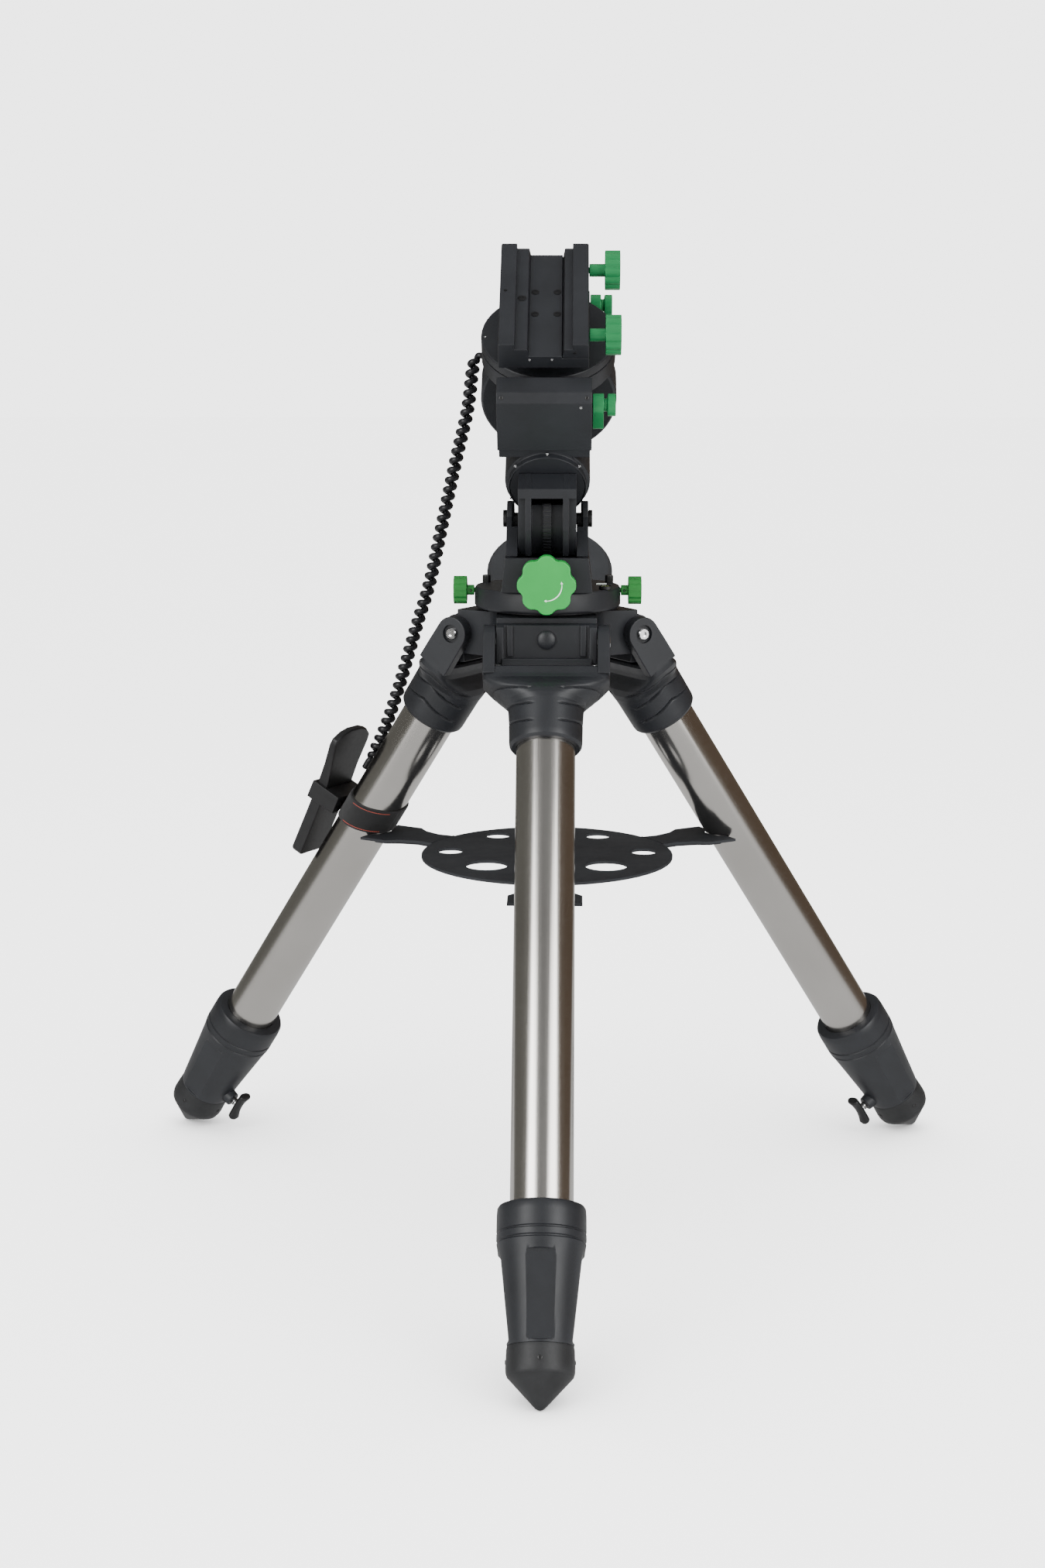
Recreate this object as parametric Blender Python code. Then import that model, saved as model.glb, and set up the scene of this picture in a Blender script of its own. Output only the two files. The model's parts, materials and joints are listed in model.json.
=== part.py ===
"""A dual alt-azimuth and equatorial telescope mount on a steel tripod.

Run it with: blender --background --python part.py. Metres, +Z up, the floor at Z = 0.
Every sub-part is one object. Empties stand on the axes of the machine and carry the
pieces: the tripod axis, three leg frames, the altitude pivot and the polar frame.
"""

from math import cos, pi, radians, sin

import bmesh
import bpy

# Driving dimensions, in metres and degrees.
AXIS_Y = 0.1294          # the tripod axis, from the middle of the whole object's box
GAP = 0.0003             # between pieces that touch
LEG_TILT = 34.33         # leg from the vertical
HINGE_R = 0.103          # leg hinge from the tripod axis
HINGE_Z = 0.814
TUBE_R = 0.0381          # 3 inch leg tube
TUBE_WALL = 0.002
INNER_R = 0.0317         # 2.5 inch sliding tube
COLLAR_END = 0.155       # stations down the leg, from its hinge
SHOE_TOP = 0.748
SHOE_END = 0.912
TUBE_END = 0.800
FOOT_TIP = 0.9843
SCREW_T = 0.893          # clamp screw of the sliding tube
TRAY_Z = 0.5057
TRAY_R = 0.174
BASE_R = 0.0987
BASE_Z = 0.8498
BASE_TOP = 0.8780
PIVOT_Z = 0.968
POLAR_TILT = 38.0        # polar axis above the horizon
POLAR_Y = 0.1046         # where the two motor axes cross, from the tripod axis
POLAR_Z = 1.1247
WORM_Z = 0.892
SADDLE_LOW = 0.141       # saddle's underside and top, up the declination axis
SADDLE_TOP = 0.179
WEIGHT_R = 0.093
WEIGHT_NEAR = 0.3216     # counterweight's near face, down the declination axis
WEIGHT_THICK = 0.047
SHAFT_END = 0.460
KNOB_Z = 0.8715          # azimuth knobs
JAW_SCREW_D = 0.165      # saddle knobs, up the declination axis
MOTOR_A = -0.145         # polar clutch, along and up the polar frame
MOTOR_D = 0.109
DEC_CLUTCH = (0, 0.104, 0.078)
HANDSET_AT = (0, -0.0640, -0.3580)   # in the left leg's frame
HANDSET_LEAN = -8        # handset's tilt from the tube

LEGS = (("front", 0), ("right", 120), ("left", 240))


# Materials -----------------------------------------------------------------------------

def finish(name, colour, roughness, metallic):
    material = bpy.data.materials.new(name)
    material.use_nodes = True
    shader = material.node_tree.nodes["Principled BSDF"]
    shader.inputs["Base Color"].default_value = (*colour, 1)
    shader.inputs["Roughness"].default_value = roughness
    shader.inputs["Metallic"].default_value = metallic
    return material


# Mesh tools ----------------------------------------------------------------------------

def lathe(profile, steps=32):
    """A closed body turned about Z from (radius, height) points."""
    bm = bmesh.new()
    rings = []
    for radius, height in profile:
        if radius == 0:
            rings.append([bm.verts.new((0, 0, height))])
            continue
        turns = [2 * pi * i / steps for i in range(steps)]
        rings.append([bm.verts.new((radius * cos(a), radius * sin(a), height)) for a in turns])
    pairs = list(zip(rings, rings[1:]))
    if all(len(ring) > 1 for ring in rings):
        pairs.append((rings[-1], rings[0]))
    for low, high in pairs:
        for i in range(steps):
            j = (i + 1) % steps
            if len(low) == 1:
                bm.faces.new((low[0], high[i], high[j]))
            elif len(high) == 1:
                bm.faces.new((low[i], high[0], low[j]))
            else:
                bm.faces.new((low[i], high[i], high[j], low[j]))
    return bm


def prism(outline, low, high):
    """An outline in XY, extruded from Z = low to Z = high."""
    bm = bmesh.new()
    bottom = [bm.verts.new((x, y, low)) for x, y in outline]
    top = [bm.verts.new((x, y, high)) for x, y in outline]
    bm.faces.new(bottom)
    bm.faces.new(top)
    for i in range(len(outline)):
        j = (i + 1) % len(outline)
        bm.faces.new((bottom[i], bottom[j], top[j], top[i]))
    return bm


def block(x, y, z):
    """A box from (low, high) spans."""
    return prism([(x[0], y[0]), (x[1], y[0]), (x[1], y[1]), (x[0], y[1])], z[0], z[1])


def arc(centre, radius, start, end, steps):
    """Points on an arc, in degrees."""
    turns = [radians(start + (end - start) * i / steps) for i in range(steps + 1)]
    return [(centre[0] + radius * cos(a), centre[1] + radius * sin(a)) for a in turns]


def rod(radius, low, high):
    return [(0, low), (radius, low), (radius, high), (0, high)]


def tube(inner, outer, low, high):
    return [(inner, low), (outer, low), (outer, high), (inner, high)]


def scallops(radius, depth, count, points=8):
    """A round outline with rounded flutes."""
    total = count * points
    out = []
    for i in range(total):
        a = 2 * pi * i / total
        r = radius - depth * (0.5 - 0.5 * cos(count * a)) ** 2
        out.append((r * cos(a), r * sin(a)))
    return out


# Object tools --------------------------------------------------------------------------

ALONG_X = (0, 90, 0)     # turns a piece made along Z so that it lies along +X
ALONG_Y = (-90, 0, 0)


def frame(name, at, turn=(0, 0, 0), parent=None):
    empty = bpy.data.objects.new(name, None)
    bpy.context.collection.objects.link(empty)
    empty.location = at
    empty.rotation_euler = [radians(a) for a in turn]
    empty.parent = parent
    return empty


def make(name, bm, material, parent, at=(0, 0, 0), turn=(0, 0, 0)):
    bmesh.ops.recalc_face_normals(bm, faces=bm.faces)
    mesh = bpy.data.meshes.new(name)
    bm.to_mesh(mesh)
    bm.free()
    mesh.materials.append(material)
    mesh.shade_smooth()
    mesh.set_sharp_from_angle(angle=radians(40))
    obj = bpy.data.objects.new(name, mesh)
    bpy.context.collection.objects.link(obj)
    obj.parent = parent
    obj.location = at
    obj.rotation_euler = [radians(a) for a in turn]
    return obj


def change(obj, kind, bm, at=(0, 0, 0), turn=(0, 0, 0)):
    """Adds or removes a hidden helper's shape, in the frame of the object's parent."""
    label = f"{kind.lower()}_{obj.name}_{len(obj.modifiers)}"
    helper = make(label, bm, obj.active_material, obj.parent, at, turn)
    helper.hide_render = True
    helper.display_type = "WIRE"
    modifier = obj.modifiers.new(label, "BOOLEAN")
    modifier.operation = kind
    modifier.object = helper
    return obj


def add(obj, bm, at=(0, 0, 0), turn=(0, 0, 0)):
    return change(obj, "UNION", bm, at, turn)


def cut(obj, bm, at=(0, 0, 0), turn=(0, 0, 0)):
    return change(obj, "DIFFERENCE", bm, at, turn)


# Tripod --------------------------------------------------------------------------------

def hub(parent, paint):
    """The head casting, with a lug for each leg and a bore for the mount's bolt."""
    body = make("tripod_hub", lathe(rod(0.084, 0.776, BASE_Z - GAP), 36), paint, parent)
    for _, angle in LEGS:
        add(body, block((-0.0662, 0.0662), (-0.117, -0.01), (0.786, 0.846)), turn=(0, 0, angle))
    cut(body, lathe(rod(0.0075, 0.7, 0.9), 16))
    for _, angle in LEGS:
        a = radians(angle - 90)
        at = (HINGE_R * cos(a), HINGE_R * sin(a), HINGE_Z)
        cut(body, lathe(rod(0.0074, -0.09, 0.09), 16), at, (0, 90, angle))
    return body


def leg(side, parent, mats):
    """One leg. In its frame the hinge is at the origin and the leg runs down -Z."""
    half = 0.0832
    outline = [(-0.0672, 0.020), (-0.0672, -0.052), (0.0672, -0.052), (0.0672, 0.020),
               (half, 0.020), (half, -0.064), (0.046, -0.096), (-0.046, -0.096),
               (-half, -0.064), (-half, 0.020)]
    clamp = make(f"leg_clamp_{side}", prism(outline, -0.023, 0.023), mats["paint"], parent,
                 turn=(90, 0, 0))
    collar = [(0, -0.064), (0.036, -0.064), (0.0475, -0.080), (0.0475, -0.148),
              (0.0445, -COLLAR_END), (0, -COLLAR_END)]
    add(clamp, lathe(collar, 28))
    cut(clamp, lathe(rod(TUBE_R + GAP, -0.2, -0.0855), 28))
    cut(clamp, lathe(rod(0.0074, -0.1, 0.1), 16), turn=ALONG_X)

    bolt = [(0, -0.0872), (0.0085, -0.0872), (0.0085, -0.0838), (0.007, -0.0836),
            (0.007, 0.0836), (0.0085, 0.0838), (0.0085, 0.0872), (0, 0.0872)]
    make(f"leg_pivot_bolt_{side}", lathe(bolt, 16), mats["steel"], parent, turn=ALONG_X)
    make(f"leg_tube_{side}", lathe(tube(TUBE_R - TUBE_WALL, TUBE_R, -TUBE_END, -0.086), 32),
         mats["tube"], parent)

    shoe = [(TUBE_R + GAP, -SHOE_TOP), (0.0510, -SHOE_TOP), (0.0528, -0.750), (0.0535, -0.792),
            (0.0500, -0.815), (0.0398, -SHOE_END), (INNER_R + GAP, -SHOE_END),
            (INNER_R + GAP, -TUBE_END - GAP), (TUBE_R + GAP, -TUBE_END - GAP)]
    casting = make(f"leg_shoe_{side}", lathe(shoe, 28), mats["paint"], parent)
    add(casting, lathe(rod(0.011, 0.0345, 0.052), 16), (0, 0, -SCREW_T), ALONG_Y)
    cut(casting, lathe(rod(0.0043, 0.02, 0.06), 12), (0, 0, -SCREW_T), ALONG_Y)

    inner = [(0, -0.50), (INNER_R, -0.50), (INNER_R, -0.9135), (0.0394, -0.9135), (0.0407, -0.938),
             (0.0398, -0.945), (0.0050, -0.9823),
             (0.0026, -0.9838), (0, -FOOT_TIP)]
    foot = make(f"leg_extension_{side}", lathe(inner, 28), mats["rubber"], parent)
    cut(foot, lathe(rod(INNER_R - TUBE_WALL, -0.90, -0.45), 28))

    screw = [(0, INNER_R + GAP), (0.004, INNER_R + GAP), (0.004, 0.0545), (0.008, 0.0550),
             (0.009, 0.0610), (0.006, 0.0630), (0, 0.0630)]
    handle = make(f"leg_clamp_screw_{side}", lathe(screw, 12), mats["plastic"], parent,
                  (0, 0, -SCREW_T), ALONG_Y)
    grip = [(-0.0085, -0.0225), (-0.0065, -0.0235), (0.0065, -0.0235), (0.0085, -0.0225),
            (0.0062, 0), (0.0085, 0.0225), (0.0065, 0.0235), (-0.0065, 0.0235), (-0.0085, 0.0225),
            (-0.0062, 0)]
    add(handle, prism(grip, 0.0590, 0.0720), (0, 0, -SCREW_T), ALONG_Y)


def tray(parent, mats):
    """The accessory tray, which presses the legs apart. Its centre hole rides the bolt."""
    plate = make("accessory_tray", lathe(rod(TRAY_R, -0.004, 0), 56), mats["paint"], parent,
                 (0, 0, TRAY_Z))
    seat = 0.3149
    for _, angle in LEGS:
        arm = [(-0.030, -0.150), (0.030, -0.150), (0.026, -0.195), (0.034, -0.222),
               (0.048, -0.240), (0.048, -0.282), (-0.048, -0.282), (-0.048, -0.240),
               (-0.034, -0.222), (-0.026, -0.195)]
        add(plate, prism(arm, -0.00395, -0.00005), (0, 0, TRAY_Z), (0, 0, angle))
    for _, angle in LEGS:
        notch = [(0.0395 * cos(a), -seat + 0.0485 * sin(a))
                 for a in [2 * pi * i / 28 for i in range(28)]]
        cut(plate, prism(notch, -0.02, 0.02), (0, 0, TRAY_Z), (0, 0, angle))
    holes = [(0.109, -42, 0.0285), (0.109, -138, 0.0285), (0.135, 6, 0.0178),
             (0.135, 174, 0.0178), (0.135, 58, 0.0178), (0.135, 122, 0.0178)]
    for radius, angle, size in holes:
        a = radians(angle)
        at = (radius * cos(a), radius * sin(a), TRAY_Z)
        cut(plate, lathe(rod(size, -0.02, 0.02), 20), at)
    cut(plate, lathe(rod(0.0066, -0.02, 0.02), 16), (0, 0, TRAY_Z))

    make("center_bolt", lathe(rod(0.006, 0.372, 0.8765), 16), mats["steel"], parent)
    nut = make("tray_nut", prism(scallops(0.024, 0.003, 8, 6), TRAY_Z - 0.022, TRAY_Z - 0.0043),
               mats["plastic"], parent)
    cut(nut, lathe(rod(0.0064, 0.4, 0.6), 16))


# Base, yoke and altitude drive ---------------------------------------------------------

def azimuth_base(parent, mats):
    base = [(0.0065, BASE_Z), (0.0965, BASE_Z), (BASE_R, 0.8535), (BASE_R, 0.8745),
            (0.0965, BASE_TOP), (0.0065, BASE_TOP)]
    plate = make("azimuth_base", lathe(base, 48), mats["paint"], parent)
    for side in (-1, 1):
        cut(plate, lathe(rod(0.0038, 0.082, 0.11), 12), (0, 0, KNOB_Z), (0, side * 90, 0))
    level = [(0, BASE_TOP + GAP), (0.009, BASE_TOP + GAP), (0.009, BASE_TOP + 0.0035),
             (0, BASE_TOP + 0.0042)]
    make("bubble_level", lathe(level, 24), mats["glass"], parent, (0.078, -0.047, 0))

    for name, side in (("azimuth_knob_left", -1), ("azimuth_knob_right", 1)):
        stem = [(0, 0.0835), (0.0033, 0.0835), (0.0033, BASE_R + 0.0005), (0.0070, BASE_R + 0.0005),
                (0.0070, 0.1110), (0, 0.1110)]
        knob = make(name, lathe(stem, 16), mats["green"], parent, (0, 0, KNOB_Z), (0, side * 90, 0))
        add(knob, prism(scallops(0.0190, 0.0026, 10, 4), 0.1090, 0.1270), (0, 0, KNOB_Z),
            (0, side * 90, 0))


def yoke(parent, mats):
    """The turning fork that carries the altitude pivot and the worm."""
    floor = BASE_TOP + GAP
    foot = [(-0.0605, floor), (0.0605, floor), (0.0550, 0.9240), (-0.0550, 0.9240)]
    body = make("azimuth_yoke", prism(foot, -0.072, 0.100), mats["paint"], parent,
                turn=(90, 0, 0))
    cheek = [(-0.078, 0.920), (0.060, 0.920), (0.0235, PIVOT_Z + 0.004)]
    cheek += arc((0, PIVOT_Z), 0.0238, 10, 170, 10) + [(-0.0235, PIVOT_Z + 0.004)]
    add(body, prism(cheek, -0.0545, 0.0545), turn=(90, 0, 90))
    cut(body, block((-0.0390, 0.0390), (-0.0875, 0.1), (0.8855, 1.1)))
    cut(body, block((-0.0447, 0.0447), (-0.0900, 0.1), (PIVOT_Z + 0.0035, 1.1)))
    cut(body, block((-0.0470, 0.0470), (-0.0900, -0.0105), (0.9600, 1.1)))
    cut(body, block((-0.0110, 0.0110), (-0.0400, 0.0330), (0.8812, 0.89)))
    add(body, block((-0.012, 0.012), (0.0345, 0.0460), (0.880, 0.9030)))
    cut(body, lathe(rod(0.0053, -0.12, 0.06), 16), (0, 0, WORM_Z), ALONG_Y)
    cut(body, lathe(rod(0.0083, -0.08, 0.08), 20), (0, 0, PIVOT_Z), ALONG_X)

    worm = [(0, -0.1340), (0.005, -0.1340), (0.005, -0.0300), (0.0095, -0.0290), (0.0095, 0.0290),
            (0.005, 0.0300), (0.005, 0.0440), (0, 0.0440)]
    make("altitude_worm", lathe(worm, 20), mats["steel"], parent, (0, 0, WORM_Z), ALONG_Y)
    knob = make("altitude_knob", prism(scallops(0.0385, 0.0045, 8, 7), 0.1120, 0.1355),
                mats["green"], parent, (0, 0, WORM_Z), (90, 0, 0))
    cut(knob, lathe(rod(0.0053, 0.1, 0.1343), 16), (0, 0, WORM_Z), (90, 0, 0))


def tilt_block(parent, mats):
    """The casting on the altitude pivot: sector, window frame and the seat of the polar body."""
    low, high = 158, 297
    core = arc((0, PIVOT_Z), 0.0600, low, high, 20) + [(0.020, PIVOT_Z), (0.0, 1.000)]
    body = make("altitude_block", prism(core, -0.0210, 0.0210), mats["paint"], parent,
                turn=(90, 0, 90))
    rim = arc((0, PIVOT_Z), 0.0655, low, high, 28) + arc((0, PIVOT_Z), 0.055, high, low, 20)
    add(body, prism(rim, -0.0057, 0.0057), turn=(90, 0, 90))
    cheek = [(-0.081, 1.0126), (-0.081, 0.9600)] + arc((0, PIVOT_Z), 0.0810, 187, high, 16)
    cheek += [(0.020, PIVOT_Z), (0.062, 1.045), (0.010, 1.083)]
    for x in (-1, 1):
        span = sorted((x * 0.0208, x * 0.0285))
        add(body, prism(cheek, *span), turn=(90, 0, 90))
    shoulder = [(-0.072, 1.0120), (-0.072, 0.975)] + arc((0, PIVOT_Z), 0.0700, 185, 280, 12)
    shoulder += [(0.030, PIVOT_Z - 0.01), (0.075, 1.045), (0.010, 1.083)]
    for x in (-1, 1):
        span = sorted((x * 0.0280, x * 0.0385))
        add(body, prism(shoulder, *span), turn=(90, 0, 90))
    cap = [(-0.0810, 1.0126), (-0.0810, 1.0000), (-0.0500, 0.9990), (0.062, 1.045), (0.010, 1.083),
           (-0.052, 1.034)]
    add(body, prism(cap, -0.0385, 0.0385), turn=(90, 0, 90))
    tilt = radians(POLAR_TILT)
    low_end = -0.1838
    at = (0, POLAR_Y + low_end * cos(tilt), POLAR_Z + low_end * sin(tilt))
    cut(body, lathe(rod(0.0569, 0, 0.3), 40), at, (POLAR_TILT - 90, 0, 0))
    cut(body, lathe(rod(0.0083, -0.08, 0.08), 20), (0, 0, PIVOT_Z), ALONG_X)

    pin = [(0, -0.0600), (0.0115, -0.0600), (0.0115, -0.0548), (0.008, -0.0546), (0.008, 0.0546),
           (0.0115, 0.0548), (0.0115, 0.0600), (0, 0.0600)]
    make("altitude_axle", lathe(pin, 24), mats["steel_dark"], parent, (0, 0, PIVOT_Z), ALONG_X)


# Polar body. In its frame +Y runs up the polar axis and +Z up the declination axis ------

def polar_body(parent, mats):
    shell = [(0.0500, 0.1835), (0.0520, 0.1835), (0.0520, 0.1745), (0.0560, 0.1735),
             (0.0566, 0.1700), (0.0566, 0.0200), (0.0190, 0.0200), (0.0190, 0.0270),
             (0.0500, 0.0270)]
    body = make("polar_housing", lathe(shell, 40), mats["paint"], parent, turn=(90, 0, 0))
    add(body, block((-0.0635, 0.0560), (-0.1735, -0.1215), (0.0440, 0.0572)))
    cut(body, lathe(rod(0.0499, 0.0300, 0.1700), 40), turn=(90, 0, 0))
    cut(body, lathe(rod(0.0088, -0.07, 0.07), 16), (0, -0.1789, -0.0591), ALONG_X)
    make("polar_cap", lathe([(0, 0.1790), (0.0497, 0.1790), (0.0497, 0.1825), (0, 0.1825)], 40),
         mats["paint"], parent, turn=(90, 0, 0))
    make("polar_shaft", lathe(tube(0.0140, 0.0187, 0.0200, 0.1700), 24), mats["steel"], parent,
         turn=(90, 0, 0))
    make("polar_worm_wheel", lathe(tube(0.0190, 0.0455, 0.1380, 0.1500), 40), mats["brass"],
         parent, turn=(90, 0, 0))

    outer = [(-0.176, 0.0575), (-0.119, 0.0575), (-0.119, 0.133), (-0.136, 0.147), (-0.166, 0.147),
             (-0.176, 0.137)]
    inner = [(-0.1735, 0.05), (-0.1215, 0.05), (-0.1215, 0.132), (-0.137, 0.1445),
             (-0.165, 0.1445), (-0.1735, 0.136)]
    cover = make("polar_motor_cover", prism(outer, -0.0655, 0.0580), mats["paint"], parent,
                 turn=(90, 0, 90))
    cut(cover, prism(inner, -0.0630, 0.0555), turn=(90, 0, 90))
    cut(cover, lathe(rod(0.0045, 0.05, 0.07), 12), (0, MOTOR_A, MOTOR_D), ALONG_X)
    make("polar_motor", block((-0.021, 0.021), (-0.167, -0.127), (0.0580, 0.1000)),
         mats["steel_dark"], parent)
    clutch("polar_clutch", parent, mats, (0, MOTOR_A, MOTOR_D), 0.050, 0.0590, 90)


def clutch(name, parent, mats, at, root, seat, swing):
    """A lever with a round hub, and a small knob outside it on the same shaft along +X."""
    lever = arc((0, 0), 0.0148, 60, 300, 14) + arc((0.0300, 0), 0.0080, -80, 80, 8)
    piece = make(name, prism(lever, seat, seat + 0.0145), mats["green"], parent, at, (0, 90, 0))
    add(piece, lathe(rod(0.0042, root, seat + 0.02), 12), at, ALONG_X)
    add(piece, lathe([(0, seat + 0.0140), (0.0085, seat + 0.0140), (0.0085, seat + 0.0185),
                      (0.0146, seat + 0.0195), (0.0146, seat + 0.0300), (0, seat + 0.0300)], 24),
        at, ALONG_X)
    return piece


def axis_housing(parent, mats):
    """The elbow that turns on the polar axis and holds the declination axis."""
    drum = [(0, 0.0065), (0.0905, 0.0065), (0.0935, 0.0030), (0.0935, -0.0430), (0.0905, -0.0460),
            (0, -0.0460)]
    body = make("axis_housing", lathe(drum, 48), mats["paint"], parent, turn=(90, 0, 0))
    add(body, lathe([(0, 0.0600), (0.0620, 0.0600), (0.0885, 0.0685), (0.0905, 0.0705),
                     (0.0905, 0.0939), (0, 0.0939)], 48))
    add(body, lathe(rod(0.0566, -0.01, 0.0197), 40), turn=(90, 0, 0))
    cut(body, lathe(rod(0.0620, 0.0760, 0.12), 40))
    cut(body, lathe(rod(0.0180, -0.2, 0.2), 24))
    cut(body, block((-0.0300, 0.0300), (0.0350, 0.1500), (0.0775, 0.0885)))
    make("dec_worm_wheel", lathe(tube(0.0180, 0.0585, 0.0775, 0.0885), 36), mats["brass"], parent)

    box = make("dec_motor_cover", block((-0.0560, 0.0560), (0.0465, 0.1180), (-0.0300, 0.0460)),
               mats["paint"], parent)
    add(box, block((-0.0560, 0.0560), (0.0912, 0.1180), (0.0400, 0.0925)))
    cut(box, block((-0.0530, 0.0530), (0.0400, 0.1150), (-0.0270, 0.0430)))
    cut(box, block((-0.0530, 0.0530), (0.0942, 0.1150), (0.0400, 0.0895)))
    cut(box, lathe(rod(0.0045, 0.05, 0.07), 12), DEC_CLUTCH, ALONG_X)
    make("dec_motor", block((-0.021, 0.021), (0.0500, 0.0900), (-0.0200, 0.0220)),
         mats["steel_dark"], parent)
    clutch("dec_clutch", parent, mats, DEC_CLUTCH, 0.050, 0.0570, 0)
    socket = [(0, 0.0640), (0.0095, 0.0640), (0.0095, 0.0760), (0.0085, 0.0790), (0, 0.0790)]
    make("handset_socket", lathe(socket, 20), mats["plastic"], parent,
         (-0.0563 + 0.0640, 0.0800, 0.0100), (0, -90, 0))


def declination(parent, mats):
    """The disc, neck and shaft that turn with the saddle."""
    disc = [(0.0180, 0.0945), (0.0890, 0.0945), (0.0905, 0.0960), (0.0905, 0.1075),
            (0.0890, 0.1090), (0.0560, 0.1090), (0.0520, 0.1130), (0.0520, SADDLE_LOW - GAP),
            (0.0180, SADDLE_LOW - GAP)]
    make("dec_disc", lathe(disc, 48), mats["paint"], parent)
    make("dec_shaft", lathe(rod(0.0177, -0.0900, SADDLE_LOW - 0.0010), 24), mats["steel"], parent)


def saddle(parent, mats):
    near, far = -0.110, 0.107
    low, step, floor, top = SADDLE_LOW, 0.1710, 0.1600, SADDLE_TOP
    section = [(-0.0640, low), (0.0540, low), (0.0540, 0.1570), (0.0190, 0.1570), (0.0190, floor),
               (-0.0240, floor), (-0.0262, step), (-0.0425, step), (-0.0425, top), (-0.0625, top),
               (-0.0640, 0.1775)]
    # The section lies in XZ, so the outline is extruded along -Y.
    plate = make("saddle_plate", prism(section, -far, -near), mats["paint"], parent,
                 turn=(90, 0, 0))
    jaw = [(0.0195, 0.1573), (0.0540, 0.1573), (0.0540, 0.1775), (0.0525, top), (0.0325, top),
           (0.0325, step), (0.0217, step)]
    moving = make("saddle_jaw", prism(jaw, -far, -near), mats["paint"], parent, turn=(90, 0, 0))
    for y in (-0.072, 0.066):
        cut(moving, lathe(rod(0.0042, 0.0300, 0.07), 12), (0, y, JAW_SCREW_D), ALONG_X)
    for name, y in (("saddle_knob_near", -0.072), ("saddle_knob_far", 0.066)):
        stem = [(0, 0.0335), (0.0038, 0.0335), (0.0038, 0.0546), (0.0085, 0.0548), (0.0085, 0.0770),
                (0, 0.0770)]
        knob = make(name, lathe(stem, 20), mats["green"], parent, (0, y, JAW_SCREW_D), ALONG_X)
        add(knob, prism(scallops(0.0262, 0.0026, 12, 4), 0.0755, 0.0960), (0, y, JAW_SCREW_D), ALONG_X)


def counterweight(parent, mats):
    shaft = [(0, SHAFT_END), (0.0125, SHAFT_END), (0.0125, 0.1120), (0.0200, 0.1100),
             (0.0200, 0.0945), (0, 0.0945)]
    make("counterweight_shaft", lathe([(r, -z) for r, z in shaft], 28), mats["tube"], parent)
    near, far = -WEIGHT_NEAR, -WEIGHT_NEAR - WEIGHT_THICK
    ring = [(0.0130, near), (0.0870, near), (WEIGHT_R, near - 0.006), (WEIGHT_R, far + 0.006),
            (0.0870, far), (0.0130, far)]
    disc = make("counterweight", lathe(ring, 44), mats["paint"], parent)
    middle = (near + far) / 2
    cut(disc, lathe(rod(0.0045, 0.005, 0.12), 12), (0, 0, middle), (-90, 0, 0))
    screw = [(0, 0.0133), (0.0041, 0.0133), (0.0041, 0.0940), (0.0110, 0.0945), (0.0120, 0.1080),
             (0, 0.1100)]
    make("weight_lock_screw", lathe(screw, 20), mats["plastic"], parent, (0, 0, middle),
         (-90, 0, 0))
    cap = [(0, -SHAFT_END - GAP), (0.0190, -SHAFT_END - GAP), (0.0200, -SHAFT_END - 0.003),
           (0.0190, -SHAFT_END - 0.012), (0, -SHAFT_END - 0.013)]
    make("shaft_end_cap", lathe(cap, 28), mats["plastic"], parent)


# Handset, its cradle and strap on the left leg, and its curly cord ----------------------

def handset(parent, mats):
    """The handset stands outside the tube: +Z up it, +Y from its back to its keys."""
    half = [(0.0260, -0.1050), (0.0300, -0.1000), (0.0310, 0.0100), (0.0345, 0.0450),
            (0.0420, 0.0800), (0.0405, 0.0900), (0.0280, 0.1000), (0.0120, 0.1045)]
    outline = half + [(-x, z) for x, z in reversed(half)]
    bm = prism(outline, -0.0180, 0)
    for corner in bm.verts:
        if corner.co.z == 0:
            corner.co.z = -0.0080 * min(1, max(0, (corner.co.y - 0.010) / 0.070))
    make("handset", bm, mats["plastic"], parent, HANDSET_AT, (HANDSET_LEAN + 90, 0, 180))

    turn = (HANDSET_LEAN, 0, 180)
    cradle = make("handset_cradle", block((-0.0355, 0.0355), (-0.0260, 0.0235), (-0.0135, 0.0135)),
                  mats["plastic"], parent, HANDSET_AT, turn)
    cut(cradle, block((-0.0316, 0.0316), (-0.0006, 0.0190), (-0.03, 0.03)), HANDSET_AT, turn)
    cut(cradle, lathe(rod(0.0416, -0.5, -0.2), 36))


def strap(parent, mats):
    """A band round the tube, set a little askew."""
    bm = lathe(tube(TUBE_R + GAP, TUBE_R + 0.0030, -0.3555, -0.3145), 32)
    for corner in bm.verts:
        corner.co.z += 0.28 * corner.co.y - 0.13 * corner.co.x
    make("leg_strap", bm, mats["webbing"], parent)


def cord_route():
    """The curly cord's middle line, from the socket over and down to the handset."""
    return [(-0.0800, 0.1615, 1.1818), (-0.0930, 0.1613, 1.1818), (-0.1035, 0.1605, 1.1760),
            (-0.1075, 0.1595, 1.1600), (-0.1145, 0.1585, 1.1064), (-0.1299, 0.1580, 1.0418),
            (-0.1493, 0.1580, 0.9547), (-0.1688, 0.1580, 0.8666), (-0.1893, 0.1585, 0.8000),
            (-0.2159, 0.1600, 0.7109), (-0.2400, 0.1620, 0.6432), (-0.2620, 0.1650, 0.6023),
            (-0.2670, 0.1665, 0.5940)]


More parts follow.
